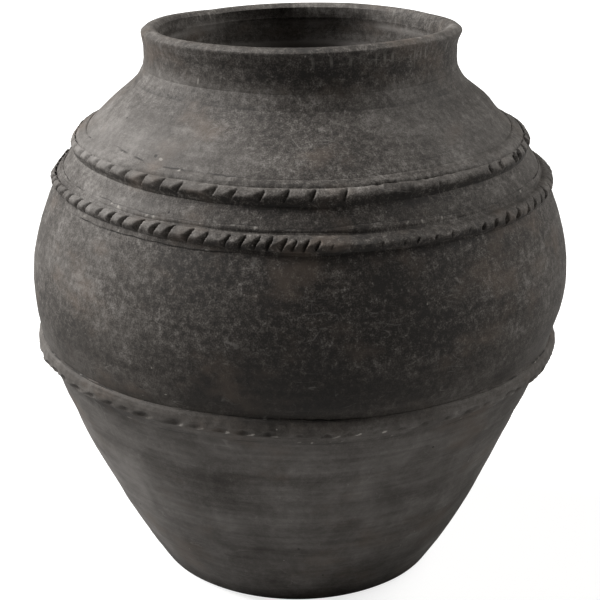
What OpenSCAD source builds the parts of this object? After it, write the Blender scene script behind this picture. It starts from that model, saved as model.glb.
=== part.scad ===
// Coil-built black clay jar: a dished floor plate, courses of clay luted one on another
// with bevelled scarf joints, and three nicked clay ropes bedded on the outside.

/* [Body] */
// Height from the ground to the top of the lip
height = 465; // [430:5:500]
// Widest diameter, at the belly
belly_d = 450; // [430:2:470]
// Diameter of the flat circle that the jar stands on
foot_d = 235; // [228:1:242]
// Radius of the rounded edge around that circle
foot_round = 10; // [8:0.5:12]
// Thickness of the clay wall, square to its surface
wall = 11; // [9.5:0.5:12.5]

/* [Neck and lip] */
// Outside diameter of the straight neck
neck_d = 254; // [248:1:260]
// How far the lip stands out beyond the neck
lip_out = 2.2; // [1.6:0.1:3.2]

/* [Ropes] */
// How far each rope stands out of its bed
rope_t = 4.4; // [3.6:0.1:5.4]
// Thickness of the smoothed bed under each rope
bed_t = 2; // [1.4:0.1:3]
// Nicks around the upper rope
upper_nicks = 66; // [40:1:72]
// Nicks around the middle rope
middle_nicks = 92; // [50:1:96]
// Nicks around the lower rope
lower_nicks = 70; // [50:1:80]
// Slant of the nicks above the horizontal
nick_slant = 38; // [30:1:50]

/* [Hidden] */

$fn = 96;

foot_r = foot_d / 2;
belly_r = belly_d / 2;
neck_r = neck_d / 2;
mouth_r = neck_r - wall;
wall_lean = 30; // lean of the wall from the vertical where it leaves the foot
edge_t = 0.6; // thickness of a bed at its feathered edges
scarf = 3;      // steps that a joint climbs from the outside of the wall to the inside

// Every outline has its points on one ladder of heights, so that neighbours share them.
steps = 186;
step = height / steps;
function level(share) = round(share * steps) * step;
function ladder(low, high) = [for (i = [round(low / step) : round(high / step)]) i * step];
function reversed(list) = [for (i = [len(list) - 1 : -1 : 0]) list[i]];

foot_top = foot_round * (1 - sin(wall_lean));
floor_top = level(0.032);
neck_z = level(0.925);

// Where the courses meet on the outside, from the base plate up to the lip.
plate_joint = level(0.043);
lower_joints = [plate_joint, level(0.14), level(0.237), level(0.334), level(0.441)];
belly_joints = [lower_joints[4], level(0.543), level(0.645), level(0.742)];
shoulder_joints = [belly_joints[3], level(0.801), level(0.866), neck_z];
lip_joint = level(0.968);

// The outside of the wall: heights as shares of the height, radii as shares of the belly's.
shape = [[0.056, 0.617], [0.110, 0.677], [0.219, 0.778], [0.329, 0.874], [0.404, 0.932],
         [0.441, 0.961], [0.477, 0.983], [0.514, 0.995], [0.5505, 1], [0.624, 0.984],
         [0.697, 0.939], [0.742, 0.897], [0.770, 0.864], [0.800, 0.823], [0.826, 0.784],
         [0.843, 0.750], [0.880, 0.665], [0.899, 0.618]];
keys = concat([[foot_top, foot_r + foot_round * cos(wall_lean)]],
              [for (k = shape) [k[0] * height, k[1] * belly_r]],
              [[neck_z, neck_r]]);
belly_z = shape[8][0] * height;

function gap(i) = keys[i + 1][0] - keys[i][0];
function rise(i) = (keys[i + 1][1] - keys[i][1]) / gap(i);
function key_slope(i) =
    i == 0 ? rise(0)
    : i == len(keys) - 1 ? rise(i - 1)
    : (rise(i - 1) * gap(i) + rise(i) * gap(i - 1)) / (gap(i - 1) + gap(i));
function span(z, i = 0) = i >= len(keys) - 2 || z < keys[i + 1][0] ? i : span(z, i + 1);

// A cubic between each pair of keys.
function curve(z) =
    let (i = span(z), h = gap(i), t = (z - keys[i][0]) / h)
    keys[i][1] * (2 * t ^ 3 - 3 * t ^ 2 + 1) + h * key_slope(i) * (t ^ 3 - 2 * t ^ 2 + t)
    + keys[i + 1][1] * (3 * t ^ 2 - 2 * t ^ 3) + h * key_slope(i + 1) * (t ^ 3 - t ^ 2);
function outer(z) = z >= neck_z ? neck_r : curve(z);
function lean(z) = outer(z + 0.5) - outer(z - 0.5);
function inner(z) =
    z >= neck_z ? mouth_r
    : let (r = outer(z) - wall * sqrt(1 + lean(z) ^ 2)) z > belly_z ? max(mouth_r, r) : r;

// A point that stands off the outside of the wall, square to it.
function off_wall(z, h) = let (n = [1, -lean(z)] / sqrt(1 + lean(z) ^ 2)) [outer(z), z] + h * n;

// A ring of wall between two joints. Each joint climbs from the outside to the inside.
module course(low, high, low_climb = scarf, high_climb = scarf) {
    outside = [for (z = ladder(low, high)) [outer(z), z]];
    inside = [for (z = ladder(low + low_climb * step, high + high_climb * step)) [inner(z), z]];
    rotate_extrude()
        polygon(concat(outside, reversed(inside)));
}

module base_plate() {
    color([0.20, 0.195, 0.19]) {
        edge = [for (a = [-90 : 7.5 : -wall_lean])
                foot_round * [cos(a), 1 + sin(a)] + [foot_r, 0]];
        outside = [for (z = ladder(foot_top + step, plate_joint)) [outer(z), z]];
        inside = [for (z = ladder(floor_top, plate_joint + scarf * step)) [inner(z), z]];
        rotate_extrude()
            polygon(concat([[0, 0]], edge, outside, reversed(inside), [[0, floor_top]]));
    }
}

// The thin coil pressed into the corner between the floor and the wall, inside.
module base_corner_coil() {
    color([0.23, 0.22, 0.21]) {
        top = plate_joint + (scarf + 1) * step;
        corner = [for (z = ladder(floor_top, top)) [inner(z), z]];
        toe = [inner(floor_top) - (top - floor_top), floor_top];
        sag = 0.35; // how far the thumbed face bows in towards the corner
        face = [for (t = [0.8 : -0.2 : 0.2])
                t * [inner(top), top] + (1 - t) * toe + sag * 4 * t * (1 - t) * [2.2, -2.2]];
        rotate_extrude()
            polygon(concat([toe], corner, face));
    }
}

module lower_wall_course(i) {
    color([0.24, 0.235, 0.23]) course(lower_joints[i - 1], lower_joints[i]);
}

module belly_course(i) {
    color([0.21, 0.205, 0.20]) course(belly_joints[i - 1], belly_joints[i]);
}

module band_course() {
    color([0.25, 0.24, 0.235]) course(shoulder_joints[0], shoulder_joints[1]);
}

module shoulder_course(i) {
    color([0.30, 0.29, 0.28]) course(shoulder_joints[i], shoulder_joints[i + 1]);
}

// The neck is a plain tube, so its mouth is a true bore.
module neck_collar() {
    color([0.22, 0.215, 0.21])
        rotate_extrude()
            polygon([[neck_r, neck_z], [neck_r, lip_joint],
                     [mouth_r, lip_joint + step], [mouth_r, neck_z + scarf * step]]);
}

// The coil thumbed into the corner where the neck rises from the shoulder.
module neck_seam_coil() {
    color([0.31, 0.30, 0.29]) {
        low = neck_z - scarf * step;
        high = neck_z + 1.5 * step;
        shoulder = [for (z = ladder(low, neck_z)) [outer(z), z]];
        top = [neck_r, high];
        toe = [outer(low), low];
        hollow = 0.35; // how far the face bows in from a straight line
        face = [for (t = [0.25, 0.5, 0.75])
                (1 - t) * top + t * toe - hollow * 4 * t * (1 - t) * [0.9, 0.43]];
        rotate_extrude()
            polygon(concat(shoulder, [top], face));
    }
}

// The lip: a coil pressed to a flare, flush with the mouth inside, rounded over the top.
module lip_coil() {
    color([0.27, 0.26, 0.25]) {
        half_w = (wall + lip_out) / 2;
        half_h = 4.4;
        middle = [mouth_r + half_w, height - half_h];
        under = -24; // where the roll starts, below it the lip tapers in to the neck
        turns = 16;
        roll = [for (i = [0 : turns]) let (a = under + (180 - under) * i / turns)
                middle + [half_w * cos(a), half_h * sin(a)]];
        rotate_extrude()
            polygon(concat([[neck_r, lip_joint]], roll, [[mouth_r, lip_joint + step]]));
    }
}

// The bed of a rope: a strap of clay smeared onto the wall, thin at both edges.
function bed_h(z, low, high) = edge_t + (bed_t - edge_t) * sin(180 * (z - low) / (high - low));
function bed_face(z, low, high) = off_wall(z, bed_h(z, low, high));

module bed(low, high) {
    back = [for (z = ladder(low, high)) [outer(z), z]];
    face = [for (z = ladder(low, high)) bed_face(z, low, high)];
    rotate_extrude()
        polygon(concat(face, reversed(back)));
}

// A rope: a half-round coil on its bed, nicked all round at a slant. ridge is the
// share of its height at which it stands out most.
module rope(low, high, bed_low, bed_high, ridge, nicks, nick_r, nick_deep) {
    back = [for (z = ladder(low, high)) bed_face(z, bed_low, bed_high)];
    round_power = ln(0.5) / ln(ridge);
    front = [for (a = [15 : 15 : 165])
             let (z = low + (high - low) * ((1 - cos(a)) / 2) ^ (1 / round_power))
             off_wall(z, bed_h(z, bed_low, bed_high) + rope_t * sin(a))];
    ridge_z = low + (high - low) * ridge;
    crest = off_wall(ridge_z, bed_h(ridge_z, bed_low, bed_high) + rope_t - nick_deep + nick_r);
    difference() {
        rotate_extrude()
            polygon(concat([back[0]], front, reversed([for (i = [1 : len(back) - 1]) back[i]])));
        for (i = [0 : nicks - 1])
            rotate(i * 360 / nicks)
                translate([crest[0], 0, crest[1]])
                    rotate([0, atan(lean(ridge_z)), 0])
                        rotate([nick_slant - 90, 0, 0])
                            cylinder(r = nick_r, h = 3 * (high - low), center = true);
    }
}

lower_bed = [level(0.409), level(0.468)];
lower_rope_z = [level(0.430), level(0.462)];
middle_bed = [level(0.715), level(0.769)];
middle_rope_z = [level(0.726), level(0.753)];
upper_bed = [level(0.785), level(0.839)];
upper_rope_z = [level(0.790), level(0.817)];

module lower_rope_bed() {
    color([0.25, 0.24, 0.24]) bed(lower_bed[0], lower_bed[1]);
}

module middle_rope_bed() {
    color([0.26, 0.25, 0.245]) bed(middle_bed[0], middle_bed[1]);
}

module upper_rope_bed() {
    color([0.28, 0.27, 0.26]) bed(upper_bed[0], upper_bed[1]);
}

module lower_rope() {
    color([0.26, 0.25, 0.25])
        rope(lower_rope_z[0], lower_rope_z[1], lower_bed[0], lower_bed[1], 0.5, lower_nicks, 4.5, 2);
}

module middle_rope() {
    color([0.29, 0.28, 0.27])
        rope(middle_rope_z[0], middle_rope_z[1], middle_bed[0], middle_bed[1], 0.45,
             middle_nicks, 3.3, 1.8);
}

module upper_rope() {
    color([0.28, 0.27, 0.255])
        rope(upper_rope_z[0], upper_rope_z[1], upper_bed[0], upper_bed[1], 0.4,
             upper_nicks, 4.5, 2.2);
}

base_plate();
base_corner_coil();
lower_wall_course(1);  // lower_wall_course_1
lower_wall_course(2);  // lower_wall_course_2
lower_wall_course(3);  // lower_wall_course_3
lower_wall_course(4);  // lower_wall_course_4
belly_course(1);  // belly_course_1
belly_course(2);  // belly_course_2
belly_course(3);  // belly_course_3
band_course();
shoulder_course(1);  // shoulder_course_1
shoulder_course(2);  // shoulder_course_2
neck_collar();
neck_seam_coil();
lip_coil();
lower_rope_bed();
lower_rope();
middle_rope_bed();
middle_rope();
upper_rope_bed();
upper_rope();
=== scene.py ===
import math

import bmesh
import bpy
import numpy as np
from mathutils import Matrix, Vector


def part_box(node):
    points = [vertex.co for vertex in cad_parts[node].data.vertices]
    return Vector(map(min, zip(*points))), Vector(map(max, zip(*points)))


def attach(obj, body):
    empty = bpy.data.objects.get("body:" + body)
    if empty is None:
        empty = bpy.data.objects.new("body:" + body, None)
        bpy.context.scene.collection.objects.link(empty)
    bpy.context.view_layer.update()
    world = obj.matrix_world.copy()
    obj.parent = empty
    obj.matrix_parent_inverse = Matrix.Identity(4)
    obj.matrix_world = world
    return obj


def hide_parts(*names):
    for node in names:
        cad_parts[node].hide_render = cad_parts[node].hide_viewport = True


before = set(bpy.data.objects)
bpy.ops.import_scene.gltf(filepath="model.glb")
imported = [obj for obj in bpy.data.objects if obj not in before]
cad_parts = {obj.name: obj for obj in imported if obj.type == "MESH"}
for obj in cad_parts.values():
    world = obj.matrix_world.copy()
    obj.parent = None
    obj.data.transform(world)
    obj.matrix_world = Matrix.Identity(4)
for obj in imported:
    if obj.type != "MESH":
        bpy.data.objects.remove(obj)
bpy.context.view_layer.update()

# ---------------------------------------------------------------------------------------------
# Base plate. A round slab of black clay with its edge turned up, beaten flat on a board.
# Everything else is built up on it, so the wall's line, the potter's uneven hand and the
# fired clay itself are worked out here first.

SEAM_TURNS = 720   # columns around a piece of wall, the same on all so that the joints meet
WALL_NODES = [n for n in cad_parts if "course" in n or n in ("base_plate", "neck_collar")]


def rings_of(node):
    """Radius and height of every corner of a turned piece."""
    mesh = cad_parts[node].data
    spots = np.empty(len(mesh.vertices) * 3)
    mesh.vertices.foreach_get("co", spots)
    spots = spots.reshape(-1, 3)
    return np.hypot(spots[:, 0], spots[:, 1]), spots[:, 2]


def smoothed(line, reach):
    """A line of even steps with its corners rubbed down, and its two ends kept."""
    if len(line) < 5:
        return line
    reach = min(reach, (len(line) - 1) // 2)
    heap = np.hanning(2 * reach + 3)[1:-1]
    heap /= heap.sum()
    before = 2 * line[0] - line[reach:0:-1]
    after = 2 * line[-1] - line[-2:-reach - 2:-1]
    return np.convolve(np.concatenate([before, line, after]), heap, mode="valid")


# The outside and the inside of the finished wall, every half millimetre up the jar.
all_r, all_z = (np.concatenate(part) for part in zip(*[rings_of(n) for n in WALL_NODES]))
stations = np.unique(np.round(all_z, 4))
outermost = np.array([all_r[np.abs(all_z - z) < 2e-4].max() for z in stations])
floor_top = 0.015
above = stations[stations > floor_top - 1e-4]
innermost = np.array([all_r[(np.abs(all_z - z) < 2e-4) & (all_r > 0.05)].min() for z in above])
jar_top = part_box("lip_coil")[1][2]
line_z = np.arange(0, jar_top + 0.02, 0.0005)
line_out = smoothed(np.interp(line_z, stations, outermost), 7)
line_in = smoothed(np.interp(line_z, above, innermost), 7)
line_lean = np.gradient(line_out, line_z)


def wall_out(z):
    return np.interp(z, line_z, line_out)


def wall_in(z):
    return np.interp(z, line_z, line_in)


def off_wall(z, stand):
    """The radius and height of a point that stands off the outside of the wall, square to it."""
    lean = np.interp(z, line_z, line_lean)
    length = np.sqrt(1 + lean ** 2)
    return wall_out(z) + stand / length, z - stand * lean / length


def grain(seed, size, flat=1.0, count=40):
    """An uneven field over the wall that joins up all round. size is that of its lumps, and
    flat draws them out sideways, as turning does."""
    pick = np.random.default_rng(seed)
    way = pick.uniform(0, math.pi, count)
    pace = 2 * math.pi / size * pick.uniform(0.4, 1.15, count)
    turns = np.round(pace * np.cos(way) * 0.19 / flat)
    climb = pace * np.sin(way)
    start = pick.uniform(0, 2 * math.pi, count)

    def field(turn, z):
        total = np.zeros(np.broadcast(turn, z).shape)
        for t, c, s in zip(turns, climb, start):
            total += np.cos(t * turn + c * z + s)
        return total / math.sqrt(count / 2)
    return field


def near(z, at, reach):
    return np.exp(-((z - at) / reach) ** 2)


def ease(x, low, high):
    t = np.clip((x - low) / (high - low), 0, 1)
    return t * t * (3 - 2 * t)


def facing(turn, degrees, reach):
    """1 where the wall faces that way, fading over reach degrees. -90 is the front."""
    off = np.abs((np.degrees(turn) - degrees + 180) % 360 - 180)
    return np.exp(-(off / reach) ** 2)


dents = grain(3, 0.110)
lumps = grain(4, 0.045, flat=1.6)
brushed = grain(5, 0.014, flat=5)
ridges = grain(6, 0.0065, flat=40)
inside_lumps = grain(7, 0.040, flat=3)
inside_ridges = grain(8, 0.009, flat=30)
ring_wave = grain(9, 0.25, flat=1.0, count=12)
# How far each height of the jar leans to the right, which is below nought to the left, in mm.
LEAN = np.array([[0, -2.5], [60, -3.6], [150, -4.0], [195, -2.2], [230, 0.2], [340, 1.6],
                 [400, 0.6], [430, 1.0], [465, 1.2]]) / 1000
# How far the rim rises and falls around the mouth, in mm, by facing.
RIM = np.array([[-180, -0.2], [-150, 0.7], [-125, 1.6], [-100, 2.4], [-78, 3.2], [-52, 4.2], [-30, 3.4],
                [0, 1.2], [30, -1.0], [70, -0.5], [105, -1.8], [130, -2.9], [155, -1.0], [180, -0.2]])

# Where the wall swells or, below nought, sinks: by how many mm, height and half height.
RINGS = [(-0.8, 0.152, 0.010), (0.9, 0.4330, 0.0045)]
# And where it does so on one side only, with its facing and half width too.
SWELLS = [(-1.2, 0.2175, 0.0026, -68, 50), (-4.8, 0.224, 0.020, -4, 30), (-2.4, 0.390, 0.010, 0, 30),
          (1.4, 0.405, 0.006, 0, 30), (1.5, 0.4600, 0.0045, 2, 26)]


def by_hand(points):
    """Moves points from the true turned shape to where the potter's hands left the clay."""
    x, y, z = points.T
    r = np.hypot(x, y)
    turn = np.arctan2(y, x)
    share = np.clip((r - wall_in(z)) / (wall_out(z) - wall_in(z)), 0, 1)
    neck = ease(z, 0.425, 0.435)
    outside = 0.42 * dents(turn, z) + 0.24 * lumps(turn, z) + 0.06 * brushed(turn, z)
    outside = outside * (1 - 0.55 * neck) + (0.05 + 0.05 * neck) * ridges(turn, z)
    for much, height, tall in RINGS:
        outside += much * near(z, height, tall)
    for much, height, tall, way, wide in SWELLS:
        outside += much * near(z, height, tall) * facing(turn, way, wide)
    inside = 0.6 * dents(turn, z) + 0.35 * inside_lumps(turn, z) + 0.10 * inside_ridges(turn, z)
    inside -= 0.7 * ease(z, 0.4505, 0.4525) * (1 - ease(z, 0.4560, 0.4600))
    foot = ease(z, 0.0, 0.012)
    push = 0.001 * (share * outside * foot + (1 - share) * inside) * np.clip(r / 0.06, 0, 1)
    r = r + push + 0.0009 * foot * ring_wave(turn, z * 0.5) * 0.6
    shift = np.interp(z, LEAN[:, 0], LEAN[:, 1])
    lift = 0.001 * ease(z, 0.432, 0.462) * np.interp(np.degrees(turn), RIM[:, 0], RIM[:, 1])
    return np.stack([r * np.cos(turn) + shift, r * np.sin(turn), z + lift], axis=1)


def cut_through(node):
    """The outline of a turned piece, as a cut from its axis outwards shows it."""
    cut = bmesh.new()
    cut.from_mesh(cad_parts[node].data)
    bmesh.ops.remove_doubles(cut, verts=cut.verts, dist=1e-6)
    whole = cut.verts[:] + cut.edges[:] + cut.faces[:]
    across = (math.sin(0.011), -math.cos(0.011), 0)
    found = bmesh.ops.bisect_plane(cut, geom=whole, plane_co=(0, 0, 0), plane_no=across)
    edges = [e for e in found["geom_cut"] if isinstance(e, bmesh.types.BMEdge)]
    edges = [e for e in edges if max(v.co.x for v in e.verts) > 1e-5]
    beside = {}
    for e in edges:
        a, b = e.verts
        beside.setdefault(a, []).append(b)
        beside.setdefault(b, []).append(a)
    ends = [v for v in beside if len(beside[v]) == 1]
    at = min(ends, key=lambda v: v.co.z) if ends else next(iter(beside))
    walk, last = [at], None
    while True:
        onward = [v for v in beside[at] if v is not last and (v is not walk[0] or len(walk) > 2)]
        if not onward or onward[0] is walk[0]:
            break
        last, at = at, onward[0]
        walk.append(at)
    outline = np.array([[math.copysign(math.hypot(v.co.x, v.co.y), v.co.x), v.co.z] for v in walk])
    cut.free()
    if ends:                                    # a plate: the cut ends on the axis
        outline[[0, -1], 0] = 0
        return outline, False
    return outline, True


def turn_at(before, at, after):
    a, b = at - before, after - at
    return abs(math.degrees(math.atan2(a[0] * b[1] - a[1] * b[0], a @ b)))


def thinned(outline, closed):
    """The outline without the points that lie on a straight run."""
    kept = list(outline)
    i = 0
    while i < len(kept) and len(kept) > 3:
        if not closed and i in (0, len(kept) - 1):
            i += 1
            continue
        before, after = kept[i - 1], kept[(i + 1) % len(kept)]
        if np.linalg.norm(kept[i] - before) < 1e-5 or turn_at(before, kept[i], after) < 0.15:
            kept.pop(i)
        else:
            i += 1
    return np.array(kept)


def spaced(outline, closed, fine=0.0022, coarse=0.005, corner=17):
    """The outline again in even steps, with its curves rubbed smooth and its corners kept,
    and which of its points the corners are."""
    outline = thinned(outline, closed)
    count = len(outline)
    if closed:
        sharp = [i for i in range(count)
                 if turn_at(outline[i - 1], outline[i], outline[(i + 1) % count]) > corner]
        sharp = sharp or [0]
        runs = [np.array([outline[k % count] for k in range(a, (b if b > a else b + count) + 1)])
                for a, b in zip(sharp, sharp[1:] + sharp[:1])]
    else:
        sharp = [0] + [i for i in range(1, count - 1)
                       if turn_at(outline[i - 1], outline[i], outline[i + 1]) > corner]
        runs = [outline[a:b + 1] for a, b in zip(sharp, sharp[1:] + [count - 1])]
    done, corners = [], []
    for run in runs:
        corners.append(sum(len(part) for part in done))
        along = np.concatenate([[0], np.cumsum(np.linalg.norm(np.diff(run, axis=0), axis=1))])
        steps = max(1, round(along[-1] / 0.0005))
        marks = np.linspace(0, along[-1], steps + 1)
        line = np.stack([smoothed(np.interp(marks, along, run[:, k]), 5) for k in (0, 1)], axis=1)
        shown = np.abs(line[:, 0] - wall_out(line[:, 1])).max() < 0.0015
        pieces = max(1, math.ceil(along[-1] / (fine if shown else coarse)))
        picks = np.linspace(0, along[-1], pieces + 1)
        run = np.stack([np.interp(picks, marks, line[:, k]) for k in (0, 1)], axis=1)
        done.append(run[:-1])
    if not closed:
        done.append(outline[-1:])
    return np.concatenate(done), corners


def clay_piece(name, grid, closed=True, corners=(), **inked):
    """A mesh from a grid of points, rows by columns, joined up all round. corners are the rows
    that lie along an edge. inked holds further values at the points, such as cracks."""
    rows, columns = grid.shape[:2]
    down = rows if closed else rows - 1
    i, j = np.meshgrid(np.arange(down), np.arange(columns), indexing="ij")
    i2, j2 = (i + 1) % rows, (j + 1) % columns
    quads = np.stack([i * columns + j, i * columns + j2, i2 * columns + j2, i2 * columns + j], -1)
    quads = quads.reshape(-1, 4)
    mesh = bpy.data.meshes.new(name)
    mesh.vertices.add(rows * columns)
    mesh.vertices.foreach_set("co", grid.reshape(-1).astype(np.float32))
    mesh.loops.add(quads.size)
    mesh.loops.foreach_set("vertex_index", quads.reshape(-1).astype(np.int32))
    mesh.polygons.add(len(quads))
    mesh.polygons.foreach_set("loop_start", np.arange(0, quads.size, 4, dtype=np.int32))
    mesh.update(calc_edges=True)
    ends = np.empty(len(mesh.edges) * 2, dtype=np.int32)
    mesh.edges.foreach_get("vertices", ends)
    rows_of = ends.reshape(-1, 2) // columns
    hard = (rows_of[:, 0] == rows_of[:, 1]) & np.isin(rows_of[:, 0], list(corners))
    mesh.attributes.new("sharp_edge", "BOOLEAN", "EDGE").data.foreach_set("value", hard)
    for mark, values in inked.items():
        layer = mesh.attributes.new(mark, "FLOAT", "POINT")
        layer.data.foreach_set("value", values.reshape(-1).astype(np.float32))
    shaped = bmesh.new()
    shaped.from_mesh(mesh)
    if not closed:
        bmesh.ops.remove_doubles(shaped, verts=shaped.verts, dist=1e-6)
    bmesh.ops.recalc_face_normals(shaped, faces=shaped.faces)
    shaped.to_mesh(mesh)
    shaped.free()
    mesh.polygons.foreach_set("use_smooth", np.ones(len(mesh.polygons), dtype=bool))
    piece = bpy.data.objects.new(name, mesh)
    bpy.context.scene.collection.objects.link(piece)
    return piece


# Where chalky dust has stayed on the clay: facing, height, half width, half height, strength.
DUST = [(-155, 0.110, 30, 0.070, 0.48), (-150, 0.280, 30, 0.050, 0.15), (-28, 0.280, 26, 0.050, 0.40),
        (-128, 0.105, 12, 0.010, 0.50), (-110, 0.101, 12, 0.008, 0.55), (-67, 0.113, 10, 0.006, 0.45),
        (-87, 0.055, 10, 0.008, 0.50), (-136, 0.128, 16, 0.014, 0.35), (-88, 0.186, 30, 0.006, 0.20),
        (-160, 0.385, 24, 0.022, 0.55), (-128, 0.398, 20, 0.016, 0.65), (-107, 0.394, 15, 0.016, 0.52),
        (-136, 0.357, 20, 0.007, 0.40), (-150, 0.305, 26, 0.030, 0.55), (-122, 0.318, 12, 0.012, 0.35),
        (-140, 0.437, 36, 0.009, 0.60), (-84, 0.436, 46, 0.007, 0.45), (-34, 0.395, 22, 0.022, 0.40),
        (-103, 0.300, 8, 0.012, 0.30), (-80, 0.330, 18, 0.006, 0.30), (-132, 0.256, 12, 0.016, 0.20),
        (30, 0.300, 40, 0.05, 0.3), (100, 0.120, 40, 0.04, 0.4), (160, 0.250, 30, 0.05, 0.3),
        (60, 0.400, 30, 0.02, 0.4), (90, 0.330, 20, 0.02, 0.3)]
# Where the clay is darkened. The ring round the foot is painted contact shade. The thin bands at
# heights 0.3645 and 0.3345, just under the upper and middle ropes, are painted shadow cast by them,
# the patch at 0.372 is painted shade on the upper rope's underside, and the band at 0.152 is painted
# shade in the hollow of the wall there. The rest are darker patches, most of them at the front.
DARKER_PATCHES_AND_SHADE = [(-84, 0.292, 30, 0.030, 0.50), (-78, 0.448, 46, 0.010, 0.75), (-92, 0.245, 44, 0.022, 0.45),
        (-62, 0.330, 30, 0.014, 0.40), (-86, 0.345, 26, 0.014, 0.40), (-92, 0.004, 360, 0.012, 0.9),
        (-90, 0.152, 70, 0.008, 0.30), (-84, 0.228, 34, 0.010, 0.30), (-78, 0.372, 30, 0.006, 0.4),
        (-92, 0.3645, 46, 0.0025, 0.5), (-90, 0.3345, 60, 0.0025, 0.5), (-88, 0.398, 26, 0.014, 0.22),
        (-86, 0.100, 45, 0.09, 0.15),
        (80, 0.220, 60, 0.04, 0.4), (170, 0.140, 40, 0.03, 0.3), (40, 0.350, 40, 0.02, 0.3)]
# How pale the clay is at each height.
PALE_BY_HEIGHT = [(0, 0.3), (0.03, 0.5), (0.17, 0.55), (0.192, 0.35), (0.215, 0.0), (0.24, -0.35),
          (0.32, -0.25), (0.35, 0.0), (0.39, 0.2), (0.425, 0.1), (0.437, 0.15), (0.443, -0.1),
          (0.465, 0.05)]
patchy = grain(21, 0.085, flat=1.5)
cloudy = grain(22, 0.035, flat=1.3)


def bloom(points):
    """How pale the clay is at a point, before its finer mottling, with its painted shade and painted
    light: 0 is even.
    """
    x, y, z = points.T
    turn = np.arctan2(y, x)
    tone = 0.13 * patchy(turn, z) + 0.08 * cloudy(turn, z)
    tone += np.interp(z, *zip(*PALE_BY_HEIGHT))
    # Painted light: the inside of the wall, from the shoulder up, is painted paler.
    tone += 1.5 * ease(wall_out(z) - np.hypot(x, y), 0.006, 0.009) * ease(z, 0.33, 0.40)
    # Painted shade: the front of the jar, from just above the lower rope up, is painted darker.
    tone -= 0.55 * facing(turn, -86, 42) * ease(z, 0.190, 0.235)
    for sign, marks in ((1, DUST), (-1, DARKER_PATCHES_AND_SHADE)):
        for way, height, wide, tall, much in marks:
            tone += sign * much * facing(turn, way, wide) * near(z, height, tall)
    return tone


def turned_piece(name, node, fine=0.0022):
    """A turned piece of clay, cut from its plain shape and then worked by hand."""
    outline, closed = cut_through(node)
    outline, corners = spaced(outline, closed, fine)
    turn = np.arange(SEAM_TURNS) * 2 * math.pi / SEAM_TURNS
    r, z = outline[:, :1], outline[:, 1:]
    points = np.stack([r * np.cos(turn), r * np.sin(turn), z + 0 * turn], axis=-1)
    flat = by_hand(points.reshape(-1, 3))
    return clay_piece(name, flat.reshape(points.shape), closed, corners, bloom=bloom(flat),
                      crack=np.zeros(len(flat)))


class Recipe:
    """A material's nodes, joined as they are added."""

    def __init__(self, name):
        self.material = bpy.data.materials.new(name)
        self.material.use_nodes = True
        self.tree = self.material.node_tree
        self.tree.nodes.clear()

    def add(self, kind, settings=None, **inputs):
        made = self.tree.nodes.new(kind)
        for key, value in (settings or {}).items():
            setattr(made, key, value)
        for key, value in inputs.items():
            key = int(key[1:]) if key[0] == "_" else key.replace("_", " ")
            self.join(value, made.inputs[key])
        return made

    def join(self, value, socket):
        if isinstance(value, bpy.types.NodeSocket):
            self.tree.links.new(value, socket)
        else:
            socket.default_value = value

    def math(self, how, a, b=0.0, c=0.0, clamp=False):
        settings = {"operation": how, "use_clamp": clamp}
        return self.add("ShaderNodeMath", settings, _0=a, _1=b, _2=c).outputs[0]

    def stretch(self, where, scale):
        return self.add("ShaderNodeMapping", Vector=where, Scale=scale).outputs[0]

    def noise(self, where, scale, detail=4.0, rough=0.55, twist=0.0):
        return self.add("ShaderNodeTexNoise", Vector=where, Scale=scale, Detail=detail,
                        Roughness=rough, Distortion=twist).outputs["Fac"]

    def band(self, value, low, high):
        """0 below low, 1 above high, and eased between the two."""
        return self.add("ShaderNodeMapRange", {"interpolation_type": "SMOOTHSTEP"}, _0=value,
                        _1=low, _2=high).outputs[0]

    def blend(self, share, a, b, how="MIX"):
        made = self.add("ShaderNodeMix", {"data_type": "RGBA", "blend_type": how}, _0=share)
        self.join(a, made.inputs[6])
        self.join(b, made.inputs[7])
        return made.outputs[2]


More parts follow.
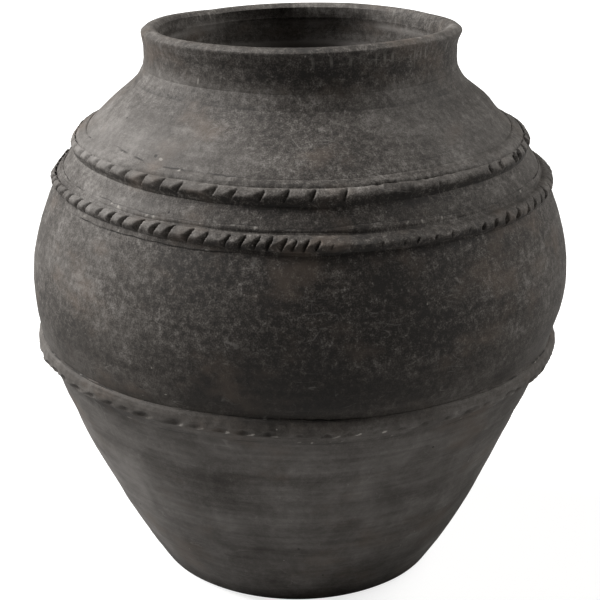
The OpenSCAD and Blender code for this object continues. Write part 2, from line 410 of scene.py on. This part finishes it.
def black_clay(name, lightness=1.0, dusty=1.0, brown=1.0, gritty=1.0, marks=()):
    """Smoke-fired clay: black-brown under patches of chalky grey, drawn out sideways
    by wiping, with pits, pale specks, hair scratches and a dry, fine-grained skin. The tone
    it reads also carries painted shade and painted light."""
    clay = Recipe(name)
    where = clay.add("ShaderNodeTexCoord").outputs["Object"]
    tone = clay.add("ShaderNodeAttribute", {"attribute_name": "bloom"}).outputs["Fac"]
    crack = clay.add("ShaderNodeAttribute", {"attribute_name": "crack"}).outputs["Fac"]
    chip = clay.add("ShaderNodeAttribute", {"attribute_name": "chip"}).outputs["Fac"]
    high = clay.add("ShaderNodeSeparateXYZ", Vector=where).outputs["Z"]
    mottle = clay.math("MULTIPLY_ADD", clay.band(high, 0.212, 0.285), 0.70, 0.40)
    low_tone = clay.math("MAXIMUM", clay.math("MULTIPLY_ADD", tone, -0.7, 1.0), 0.3)
    mottle = clay.math("MULTIPLY", mottle, low_tone)
    wide = clay.noise(where, 11, 5, 0.6)
    patch = clay.noise(where, 34, 7, 0.68, 0.4)
    speckle = clay.noise(where, 210, 5, 0.7)
    fine = clay.noise(where, 900, 3, 0.6)
    wiped = clay.noise(clay.stretch(where, (7, 7, 170)), 1, 6, 0.65, 0.3)
    strokes = clay.noise(clay.stretch(where, (22, 22, 620)), 1, 4, 0.6, 0.2)

    value = clay.math("MULTIPLY_ADD", wide, 0.36, -0.275)
    value = clay.math("MULTIPLY_ADD", patch, 0.75, value)
    value = clay.math("MULTIPLY_ADD", wiped, 0.42, value)
    mixed = clay.math("MULTIPLY_ADD", clay.math("ADD", speckle, -0.5), 1.05, 0.0)
    mixed = clay.math("MULTIPLY_ADD", clay.math("ADD", fine, -0.5), 0.80, mixed)
    value = clay.math("MULTIPLY_ADD", mixed, mottle, value)
    value = clay.math("MULTIPLY_ADD", tone, 0.24, value)
    body = clay.add("ShaderNodeValToRGB", _0=value)
    ramp = body.color_ramp
    shades = [(0.00, (0.0075, 0.0061, 0.0050)), (0.25, (0.0187, 0.0158, 0.0131)),
              (0.42, (0.0393, 0.0345, 0.0299)), (0.56, (0.0630, 0.0572, 0.0515)),
              (0.72, (0.1010, 0.0935, 0.0865)), (0.90, (0.1510, 0.1415, 0.1325))]
    while len(ramp.elements) < len(shades):
        ramp.elements.new(0.5)
    for spot, (at, colour) in zip(ramp.elements, shades):
        spot.position = at
        spot.color = (*[c * lightness for c in colour], 1)
    colour = body.outputs[0]

    # Earth brown where the smoke did not reach.
    earth = clay.noise(clay.stretch(where, (1, 1, 1.6)), 16, 4, 0.6)
    share = clay.math("MULTIPLY", clay.band(earth, 0.52, 0.72), 0.42 * brown)
    colour = clay.blend(share, colour, (0.088 * lightness, 0.066 * lightness, 0.050 * lightness, 1))

    # Chalky dust caught in the texture.
    settle = clay.math("MULTIPLY", clay.band(patch, 0.50, 0.70), clay.band(speckle, 0.40, 0.66))
    calm = clay.math("MULTIPLY_ADD", tone, 0.35, wide)
    settle = clay.math("MULTIPLY", settle, clay.band(calm, 0.40, 0.72))
    settle = clay.math("MULTIPLY", settle, clay.band(high, 0.19, 0.29))
    colour = clay.blend(clay.math("MULTIPLY", settle, 0.42 * dusty), colour, (0.15, 0.142, 0.132, 1))

    # Hair scratches, where two wandering fields cross their middle.
    hairs = []
    for k, (scale, spread) in enumerate((((26, 26, 60), 0.010), ((70, 70, 30), 0.007))):
        field = clay.noise(clay.stretch(where, scale), 1, 2, 0.4, 0.6)
        line = clay.math("ABSOLUTE", clay.math("ADD", field, -0.5 - 0.03 * k))
        hairs.append(clay.math("SUBTRACT", 1.0, clay.band(line, 0.0, spread)))
    scratch = clay.math("MAXIMUM", hairs[0], hairs[1])
    scratch = clay.math("MULTIPLY", scratch, clay.band(clay.noise(where, 48, 3, 0.6), 0.52, 0.66))
    colour = clay.blend(clay.math("MULTIPLY", scratch, 0.30), colour, (0.20, 0.19, 0.178, 1))

    # Pale grains of temper, and small dark pits where others fell out.
    dots = clay.add("ShaderNodeTexVoronoi", Vector=where, Scale=240.0)
    chosen = clay.band(dots.outputs["Color"], 0.90, 0.93)
    speck = clay.math("SUBTRACT", 1.0, clay.band(dots.outputs["Distance"], 0.10, 0.20))
    speck = clay.math("MULTIPLY", speck, chosen)
    colour = clay.blend(clay.math("MULTIPLY", speck, 0.50), colour, (0.28, 0.265, 0.245, 1))
    holes = clay.add("ShaderNodeTexVoronoi", Vector=where, Scale=105.0)
    taken = clay.band(holes.outputs["Color"], 0.86, 0.88)
    pit = clay.math("SUBTRACT", 1.0, clay.band(holes.outputs["Distance"], 0.06, 0.13))
    pit = clay.math("MULTIPLY", pit, taken)
    pit = clay.math("MULTIPLY", pit, clay.band(clay.noise(where, 13, 2, 0.5), 0.44, 0.56))
    # Cracks, and the painted shade deep in the rope nicks, darken the clay here with the pits.
    dark = clay.math("MAXIMUM", pit, crack, clamp=True)

    # Single marks, each an uneven ellipse laid flat against the wall.
    pale = chip
    for way, at, wide_mm, tall_mm, much in marks:
        way = math.radians(way)
        r = wall_out(at)
        spot = by_hand(np.array([[r * math.cos(way), r * math.sin(way), at]]))[0]
        local = clay.add("ShaderNodeMapping", {"vector_type": "TEXTURE"}, Vector=where,
                         Location=tuple(spot), Rotation=(0, 0, way),
                         Scale=(0.02, wide_mm / 1000, tall_mm / 1000)).outputs[0]
        reach = clay.add("ShaderNodeVectorMath", {"operation": "LENGTH"}, _0=local).outputs["Value"]
        reach = clay.math("MULTIPLY_ADD", fine, 1.2, clay.math("ADD", reach, -0.6))
        mask = clay.math("MULTIPLY", clay.math("SUBTRACT", 1.0, clay.band(reach, 0.6, 1.1)), abs(much))
        if much < 0:
            dark = clay.math("MAXIMUM", dark, mask)
        else:
            pale = clay.math("MAXIMUM", pale, mask)
    colour = clay.blend(clay.math("MULTIPLY", dark, 0.85), colour, (0.008, 0.007, 0.006, 1))
    colour = clay.blend(pale, colour, (0.40, 0.38, 0.345, 1))

    rough = clay.math("MULTIPLY_ADD", patch, 0.22, 0.60)
    rough = clay.math("MULTIPLY_ADD", speckle, 0.12, rough)
    height = clay.math("MULTIPLY", patch, 0.55)
    height = clay.math("MULTIPLY_ADD", speckle, 0.22 * gritty, height)
    height = clay.math("MULTIPLY_ADD", fine, 0.06 * gritty, height)
    height = clay.math("MULTIPLY_ADD", wiped, 0.30, height)
    height = clay.math("MULTIPLY_ADD", strokes, 0.07, height)
    height = clay.math("MULTIPLY_ADD", dark, -0.45, height)
    height = clay.math("MULTIPLY_ADD", scratch, -0.03, height)
    bump = clay.add("ShaderNodeBump", Strength=0.55, Distance=0.0012, Height=height)
    skin = clay.add("ShaderNodeBsdfPrincipled", Base_Color=colour, Roughness=rough,
                    Normal=bump.outputs[0])
    skin.inputs["Specular IOR Level"].default_value = 0.32
    out = clay.add("ShaderNodeOutputMaterial")
    clay.join(skin.outputs[0], out.inputs["Surface"])
    return clay.material


# Single marks on the wall: facing, height, half width and half height in mm, and strength,
# which is below nought for a dark pit or crack and above it for a pale smear.
MARKS = [(-129, 0.389, 1.6, 1.2, -0.9), (-127, 0.388, 2.2, 1.0, 0.30), (-119.5, 0.357, 1.0, 1.1, -1.0),
         (-128, 0.4385, 0.9, 3.4, 0.32), (-140, 0.4245, 1.3, 1.0, -0.8), (-138, 0.4235, 1.0, 0.9, -0.8),
         (-136, 0.4240, 1.2, 0.8, -0.7), (-81, 0.2335, 15, 0.40, -0.7), (-74, 0.2340, 11, 0.35, -0.7),
         (-122, 0.2270, 2.5, 0.7, -0.7), (-118, 0.2262, 2.0, 0.6, -0.7), (-116.5, 0.2255, 1.2, 0.5, 0.35),
         (-55, 0.3900, 14, 0.45, -0.35), (-50, 0.3915, 12, 0.40, -0.35), (-144, 0.3880, 6, 0.40, -0.4),
         (-86, 0.2870, 3.5, 0.8, 0.10), (70, 0.2600, 12, 0.5, -0.5), (130, 0.3100, 1.4, 1.2, -0.8)]
wall_clay = black_clay("wall_clay", marks=MARKS)

plate = turned_piece("base_plate_clay", "base_plate")
plate.data.materials.append(wall_clay)
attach(plate, "root")
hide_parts("base_plate")

# ---------------------------------------------------------------------------------------------
# Corner coil. A thin roll of the same clay, thumbed into the corner inside between the floor
# and the wall so that the joint does not open in the fire.

corner = turned_piece("base_corner_clay", "base_corner_coil")
corner.data.materials.append(wall_clay)
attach(corner, "root")
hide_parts("base_corner_coil")

# ---------------------------------------------------------------------------------------------
# Lower wall. Four courses of clay, each laid on the bevelled edge of the last, scraped thin
# and wiped round with a wet hand until the joints are gone.

for number in (1, 2, 3, 4):
    course = turned_piece(f"lower_wall_clay_{number}", f"lower_wall_course_{number}")
    course.data.materials.append(wall_clay)
    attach(course, "root")
    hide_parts(f"lower_wall_course_{number}")

# ---------------------------------------------------------------------------------------------
# Belly. Three courses, pushed out from inside to the widest part of the jar and drawn in
# again. Their front is painted the darkest, as painted shade.

for number in (1, 2, 3):
    course = turned_piece(f"belly_clay_{number}", f"belly_course_{number}")
    course.data.materials.append(wall_clay)
    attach(course, "root")
    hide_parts(f"belly_course_{number}")

# ---------------------------------------------------------------------------------------------
# Band and shoulder. The course that shows between the two upper ropes, and the two that
# close in from there to the neck, wiped smooth while the clay was soft.

for name in ("band_course", "shoulder_course_1", "shoulder_course_2"):
    course = turned_piece(name.replace("course", "clay"), name)
    course.data.materials.append(wall_clay)
    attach(course, "root")
    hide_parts(name)

# ---------------------------------------------------------------------------------------------
# Neck. A plain tube of clay set on the shoulder and trued on the turning board, with the
# soft marks of the fingers running round it, and the clay thumbed into its foot outside.

toe_broken = grain(25, 0.040, count=30)
rim_crumbs = grain(26, 0.0060, count=50)


def inked_by(piece, mark, rule):
    """Draws a mark on a finished piece, as strong as the rule says at each facing and height."""
    spots = np.empty(len(piece.data.vertices) * 3)
    piece.data.vertices.foreach_get("co", spots)
    x, y, z = spots.reshape(-1, 3).T
    values = rule(np.arctan2(y, x), z)
    layer = piece.data.attributes.get(mark) or piece.data.attributes.new(mark, "FLOAT", "POINT")
    layer.data.foreach_set("value", values.astype(np.float32))


for name, node in (("neck_clay", "neck_collar"), ("neck_seam_clay", "neck_seam_coil")):
    tube = turned_piece(name, node)
    tube.data.materials.append(wall_clay)
    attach(tube, "root")
    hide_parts(node)
SEAM_TOE = 0.4226   # height where the thumbed clay runs out on the shoulder
inked_by(tube, "crack", lambda turn, z: 0.5 * near(z, SEAM_TOE, 0.0008)
         * ease(toe_broken(turn, z), -0.6, 0.4))

# ---------------------------------------------------------------------------------------------
# Lip. A coil laid on the neck, rolled over with a wet rag, and rubbed pale along its edge by
# years of handling.

lip_clay = black_clay("lip_clay", dusty=1.6, gritty=1.2)
lip = turned_piece("lip_rolled_clay", "lip_coil", fine=0.0012)
lip.data.materials.append(lip_clay)
LIP_EDGE = 0.4590   # height of the lip's widest line
inked_by(lip, "chip", lambda turn, z: 0.22 * ease(rim_crumbs(turn, z), 1.3, 1.9)
         * near(z, LIP_EDGE, 0.0030))
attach(lip, "root")
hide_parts("lip_coil")

# ---------------------------------------------------------------------------------------------
# Rope beds. Under each rope a strap of soft clay was smeared onto the leather-hard wall. Its
# edges are feathered by thumb, wander up and down, and have cracked away in places.

BED_TURNS = 1080   # columns around a bed
BED_STEP = 0.0008  # and how far apart its rows are
BURIED = 0.0012    # how deep its back lies in the wall
bed_clay = black_clay("bed_clay", lightness=1.0, brown=1.3, gritty=1.3)
edge_wander = grain(31, 0.070, count=30)
edge_nibble = grain(32, 0.010, count=40)
edge_broken = grain(33, 0.026, count=30)
edge_crumbs = grain(34, 0.0045, count=50)
smear = grain(35, 0.012, flat=4, count=40)
# How far each rope has crept up or down from its level, in mm, by facing.
CREEP = {
    "lower": [(-180, 1.5), (-130, 1.5), (-108, 1.0), (-85, -0.8), (-60, 0.4), (-30, -0.3), (0, -1.4),
              (40, 0.5), (180, 1.5)],
    "middle": [(-180, 4.6), (-150, 3.0), (-128, 2.0), (-112, 0.8), (-95, 0.0), (-70, -1.8), (-50, -1.8),
               (-10, 0.0), (60, 1.0), (120, 3.0), (180, 4.6)],
    "upper": [(-180, 3.0), (-145, 1.8), (-125, 0.9), (-108, -0.9), (-85, 0.2), (-67, 1.0), (-40, 2.6),
              (-20, 3.0), (40, 1.0), (120, 1.5), (180, 3.0)],
}


def crept(name, turn):
    ways, climbs = zip(*CREEP[name])
    around = (np.degrees(turn) + 180) % 360 - 180
    return np.interp(around, ways, smoothed(np.array(climbs), 1)) * 0.001


# For each bed: the heights of its two edges, how much of the rope's creep each shares, and
# how thick it is at a share of the way up from the lower edge.
BEDS = {
    "lower": {"edges": (0.1915, 0.2145), "shared": (0.3, 1.0),
              "thick": [(0, 0.45), (0.15, 1.0), (0.3, 1.9), (0.42, 3.0), (0.6, 3.0), (0.8, 2.4),
                        (1, 0.7)]},
    "middle": {"edges": (0.3368, 0.3543), "shared": (0.0, 0.1),
               "thick": [(0, 0.6), (0.3, 1.6), (0.55, 1.8), (0.75, 1.2), (1, 0.35)]},
    "upper": {"edges": (0.3685, 0.3838), "shared": (1.0, 0.1),
              "thick": [(0, 0.8), (0.4, 2.4), (0.6, 2.3), (0.8, 1.5), (1, 0.4)]},
}
for name, bed in BEDS.items():
    turn = np.arange(BED_TURNS) * 2 * math.pi / BED_TURNS
    low, high = bed["edges"]
    ragged = edge_wander(turn, low)
    low = low + bed["shared"][0] * crept(name, turn) + 0.0004 * ragged + 0.00014 * edge_nibble(turn, low)
    high = high + bed["shared"][1] * crept(name, turn) + 0.0006 * edge_wander(turn, high)
    high = high + 0.00018 * edge_nibble(turn, high)
    if name == "upper":
        high = high + 0.0030 * facing(turn, -150, 18) - 0.0014 * facing(turn, -97, 9)
    if name == "middle":
        low = np.minimum(low, 0.3385 + crept(name, turn))
    middle = np.linspace(0.03, 0.97, round((bed["edges"][1] - bed["edges"][0]) / BED_STEP))
    shares = np.concatenate([[0, 0, 0.012], middle, [0.988, 1, 1, 0.75, 0.5, 0.25]])
    sunk = np.array([True, False, False] + [False] * len(middle) + [False, False] + [True] * 4)
    shares = shares[:, None]
    foot_z = low + (high - low) * shares
    stand = np.interp(shares, *zip(*bed["thick"])) * 0.001
    stand = smoothed(stand[:, 0], 3)[:, None] + 0.00010 * smear(turn, foot_z)
    stand = np.where(sunk[:, None], -BURIED, np.maximum(stand, 0.0002))
    r, z = off_wall(foot_z, stand)
    points = np.stack([r * np.cos(turn), r * np.sin(turn), z], axis=-1)
    flat = by_hand(points.reshape(-1, 3))
    rim = np.minimum(shares, 1 - shares) * (high - low)
    broken = ease(edge_broken(turn, np.where(shares < 0.5, low, high)), 0.1, 0.6)
    crack = np.where(rim < 0.0005, broken, 0)
    crumbs = ease(edge_crumbs(turn, foot_z), 1.5, 2.0) * near(rim, 0.0014, 0.0012) * broken
    strap = clay_piece(f"{name}_rope_bed_clay", flat.reshape(points.shape), True,
                       (0, 1, len(shares) - 5, len(shares) - 4),
                       bloom=bloom(flat) - 0.05, crack=crack, chip=0.5 * crumbs)
    strap.data.materials.append(bed_clay)
    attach(strap, "root")
    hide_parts(f"{name}_rope_bed")

# ---------------------------------------------------------------------------------------------
# Ropes. A roll of clay is pressed onto each bed and nicked at a slant all round with the
# finger, so that it looks like twisted cord. No two nicks are alike, and some are rubbed away.

ROPE_TURNS = 1800   # columns around a rope
ROPE_STEP = 0.62    # and how far apart its rows are, in mm
NICK_REACH = 22     # how far to each side of its middle a nick is worked, in mm
UNTOUCHED = 99      # a depth that no nick leaves, in mm
rope_clay = black_clay("rope_clay", lightness=1.0, brown=1.3, gritty=1.5)
rope_swell = grain(42, 0.050, count=30)
rope_skin = grain(43, 0.0055, flat=1.3, count=50)

# For each rope: its face from the upper root down to the lower one, as height and stand-out
# in millimetres, and its nicks: how many, what they leave standing, the crest they are drawn
# across and where they crowd together. The lower rope's are dented with the tip of the finger,
# whose slant, radius and climb are given; the others are pushed along, with the shortest and
# longest push, the slope of the rope there and the depth of the nick under its edge.
ROPES = {
    "lower": {"face": [(214.2, 1.2), (213.2, 3.0), (210.5, 4.6), (206.8, 5.8), (204.0, 6.2),
                       (202.2, 5.5), (200.8, 3.6), (199.8, 1.4)],
              "nicks": 70, "slant": 12, "finger": 3.3, "left": 4.0, "up": 0.24, "down": 0.24,
              "crest": 204.8, "crowd": (0.0, 0, 10), "plump": 0.15},
    "middle": {"face": [(349.6, 1.1), (348.2, 2.0), (346.4, 3.6), (344.4, 5.0), (342.4, 5.6),
                        (340.6, 4.9), (339.3, 3.1), (338.4, 0.5)],
               "nicks": 92, "left": 2.7, "push": (6.0, 8.5, 0.45, 2.5),
               "crest": 343.2, "crowd": (0.8, -91, 10), "plump": 0.7},
    "upper": {"face": [(383.0, 0.8), (380.0, 2.1), (377.2, 3.7), (374.8, 5.1), (372.8, 6.0), (371.2, 6.2),
                       (369.9, 5.3), (368.8, 3.4), (367.7, 1.4), (366.6, 0.3)],
              "nicks": 66, "left": 3.4, "push": (10.0, 13.5, 0.32, 2.9),
              "crest": 371.9, "crowd": (-0.12, -90, 60), "plump": 0.3},
}
# Where each rope has been rubbed nearly smooth: facing, reach and how much.
WORN = {"lower": [(-88, 7, 0.5), (120, 30, 0.7)],
        "middle": [(-80, 5, 0.7), (-62, 15, 0.6), (70, 30, 0.6)],
        "upper": [(-57, 16, 0.80), (-73, 5, 0.6), (150, 20, 0.5)]}

# How dark each rope is painted underneath, as painted shade under its crest.
UNDERSIDE_SHADE = {"lower": 0.15, "middle": 0.5, "upper": 0.9}


def least(a, b, round_off):
    """The smaller of two fields, with the corner between them rounded off."""
    share = np.clip(0.5 + 0.5 * (b - a) / round_off, 0, 1)
    return b * (1 - share) + a * share - round_off * share * (1 - share)


for name, rope in ROPES.items():
    turn = np.arange(ROPE_TURNS) * 2 * math.pi / ROPE_TURNS
    face = np.array(rope["face"])
    along = np.concatenate([[0], np.cumsum(np.hypot(*np.diff(face, axis=0).T))])
    marks = np.linspace(0, along[-1], 121)
    line = np.stack([smoothed(np.interp(marks, along, face[:, k]), 5) for k in (0, 1)], axis=1)
    rows = round(along[-1] / ROPE_STEP)
    picks = np.linspace(0, along[-1], rows)
    height, stand = (np.interp(picks, marks, line[:, k])[:, None] for k in (0, 1))
    creep = 1000 * crept(name, turn)
    size = 1 + 0.07 * rope_swell(turn, height[0] * 0.001)
    stand = 1 + (stand - 1) * size
    crest = rope["crest"]
    climb = math.sqrt(1 + float(np.interp(crest * 0.001, line_z, line_lean)) ** 2)
    radius = 1000 * float(wall_out(crest * 0.001)) + 5
    up = (height - crest) * climb + 0 * turn

    pick = np.random.default_rng(len(name) * 7)
    count = rope["nicks"]
    much, way, reach = rope["crowd"]
    around = np.linspace(-math.pi, math.pi, 3601)
    filled = np.cumsum(1 + much * facing(around, way, reach))
    filled = (filled - filled[0]) / (filled[-1] - filled[0])
    spots = np.interp((np.arange(count) + 0.5 + pick.normal(0, 0.10, count)) / count, filled, around)
    before = stand.copy()
    chip = np.zeros(stand.shape)
    for spot in spots:
        side = ((turn - spot + math.pi) % (2 * math.pi) - math.pi) * radius
        some = np.abs(side) < NICK_REACH
        side = side[some]
        slant = math.radians(rope.get("slant", 30) + pick.normal(0, 4))
        finger = rope.get("finger", 3) * pick.uniform(0.85, 1.2)
        shift = pick.normal(0, 0.35)
        fade = sum(m * float(facing(spot, w, r)) for w, r, m in WORN[name])
        left = rope["left"] + pick.normal(0, 0.35)
        if "push" not in rope:
            left += fade * (6.0 - rope["left"])
        rise = up[:, some] - shift
        run = side * math.cos(slant) + rise * math.sin(slant)
        off = rise * math.cos(slant) - side * math.sin(slant)
        if "push" in rope:
            # Pushed along from the left under the crest, so that each nick ends in a steep wall.
            shortest, longest, slope, depth = rope["push"]
            push = side - 0.55 * rise
            deeper = np.clip(push / pick.uniform(shortest, longest) + 1, 0, 1) ** 1.3
            edge = pick.uniform(3.2, 5.0) * (1 - fade) * deeper - 0.3
            dip = left - slope * edge + 1.1 * np.maximum(rise - edge + depth / 1.1, 0)
            dip = dip + 3 * (1 - deeper) + 9 * ease(push, 0, 1.3) + 3.5 * fade
        else:
            floor = left + rope["up"] * np.maximum(run, 0) + rope["down"] * np.maximum(-run, 0)
            dip = floor + finger - np.sqrt(np.maximum(finger ** 2 - off ** 2, 0))
            dip = np.where(np.abs(off) < finger, dip, UNTOUCHED)
        stand[:, some] = least(stand[:, some], dip, 0.35)
        if name == "lower" and pick.uniform() < 0.75:
            spread = np.hypot((side - 6.3 + 0.2 * rise) / 3.0, (rise + 4.6 - 0.5 * side) / 0.8)
            ragged = 0.4 * edge_crumbs(turn[some], up[:, some] * 0.001)
            chip[:, some] = np.maximum(chip[:, some], ease(1.1 + ragged - spread, 0, 0.4)
                                       * pick.uniform(0.3, 1.0) * facing(spot, -92, 30))
    cut = before - stand
    plump = rope["plump"] * np.clip((before - 2) / 4, 0, 1) * ease(-cut, -0.6, 0.1)
    rubbed = sum(m * facing(turn, w, r) for w, r, m in WORN[name])
    lumpy = (0.13 + 0.30 * rubbed) * np.clip((before - 1) / 3, 0, 1)
    stand = stand + plump + lumpy * rope_skin(turn, height * 0.001)
    stand[0], stand[-1] = 0.3, 0.2
    behind = np.linspace(1, 0, 5)[:-1, None]
    height = np.concatenate([height, height[0] + (height[-1] - height[0]) * behind])
    stand = np.concatenate([stand, np.full((4, ROPE_TURNS), 0.15)])
    foot_z = 0.001 * (height + creep)
    r, z = off_wall(foot_z, 0.001 * stand)
    points = np.stack([r * np.cos(turn), r * np.sin(turn), z], axis=-1)
    flat = by_hand(points.reshape(-1, 3))
    pad = ((0, 4), (0, 0))
    # Painted shade deep in the nicks, also sent on as the crack mark, and painted light where the rope
    # stands proud.
    painted_nick_shade = np.pad(np.clip(cut / 3, 0, 1), pad)
    painted_crest_light = np.pad(np.clip((before - 2) / 4, 0, 1) * (1 - np.clip(cut / 1.5, 0, 1)), pad)
    # Painted shade under each rope's crest.
    peak = face[np.argmax(face[:, 1]), 0]
    painted_underside_shade = UNDERSIDE_SHADE[name] * ease(peak - 0.2 - height, 0, 1.8)
    cord = clay_piece(f"{name}_rope_clay", flat.reshape(points.shape), True, (0, rows - 1),
                      bloom=bloom(flat) + (0.35 * painted_crest_light - 0.35 * painted_nick_shade - painted_underside_shade).reshape(-1),
                      crack=0.15 * painted_nick_shade ** 2, chip=np.pad(chip, pad))
    cord.data.materials.append(rope_clay)
    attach(cord, "root")
    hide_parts(f"{name}_rope")

# ---------------------------------------------------------------------------------------------
# Studio. A pale sweep of floor, a broad soft light on the left, a weaker one on the right,
# and the lens above the jar's mouth looking down on it.

floor_mesh = bpy.data.meshes.new("studio_floor")
floor_mesh.from_pydata([(-30, -30, 0), (30, -30, 0), (30, 30, 0), (-30, 30, 0)], [], [(0, 1, 2, 3)])
floor = bpy.data.objects.new("studio_floor", floor_mesh)
bpy.context.scene.collection.objects.link(floor)
paper = Recipe("pale_paper")
seen = paper.add("ShaderNodeLightPath").outputs["Is Camera Ray"]
sheet = paper.add("ShaderNodeBsdfDiffuse", Color=(0.36, 0.36, 0.36, 1))
glow = paper.add("ShaderNodeEmission", Color=(1, 1, 1, 1), Strength=0.76)
lit = paper.add("ShaderNodeMixShader", _0=seen, _1=sheet.outputs[0])
both = paper.add("ShaderNodeAddShader", _0=sheet.outputs[0], _1=glow.outputs[0])
paper.join(both.outputs[0], lit.inputs[2])
paper.join(lit.outputs[0], paper.add("ShaderNodeOutputMaterial").inputs["Surface"])
floor_mesh.materials.append(paper.material)


def soft_light(name, strength, side, rise, spread, colour):
    """Soft light from far off. side is measured from straight in front, to the left, and
    rise from the floor up."""
    lamp = bpy.data.lights.new(name, "SUN")
    lamp.energy = strength
    lamp.angle = math.radians(spread)
    lamp.color = colour
    lit = bpy.data.objects.new(name, lamp)
    lit.rotation_euler = (math.radians(90 - rise), 0, math.radians(-side))
    bpy.context.scene.collection.objects.link(lit)


soft_light("left_softbox", 8.2, side=102, rise=42, spread=36, colour=(1.0, 0.99, 0.985))
soft_light("right_softbox", 2.9, side=-104, rise=42, spread=40, colour=(1.0, 0.985, 0.965))
world = bpy.data.worlds.new("studio")
world.use_nodes = True
air = world.node_tree
dim = air.nodes["Background"]
dim.inputs[0].default_value = (1.0, 0.93, 0.86, 1)
dim.inputs[1].default_value = 0.05
plain = air.nodes.new("ShaderNodeBackground")
plain.inputs[0].default_value = (0.93, 0.93, 0.93, 1)
either = air.nodes.new("ShaderNodeMixShader")
air.links.new(air.nodes.new("ShaderNodeLightPath").outputs["Is Camera Ray"], either.inputs[0])
air.links.new(dim.outputs[0], either.inputs[1])
air.links.new(plain.outputs[0], either.inputs[2])
air.links.new(either.outputs[0], air.nodes["World Output"].inputs["Surface"])
bpy.context.scene.world = world

lens = bpy.data.cameras.new("lens")
lens.lens = 83.8
camera = bpy.data.objects.new("lens", lens)
camera.location = (0, -1.139, 0.6516)
LOOKS_DOWN = 20.5
camera.rotation_euler = (math.radians(90 - LOOKS_DOWN), 0, 0)
bpy.context.scene.collection.objects.link(camera)
bpy.context.scene.camera = camera
bpy.context.scene.view_settings.view_transform = "Standard"
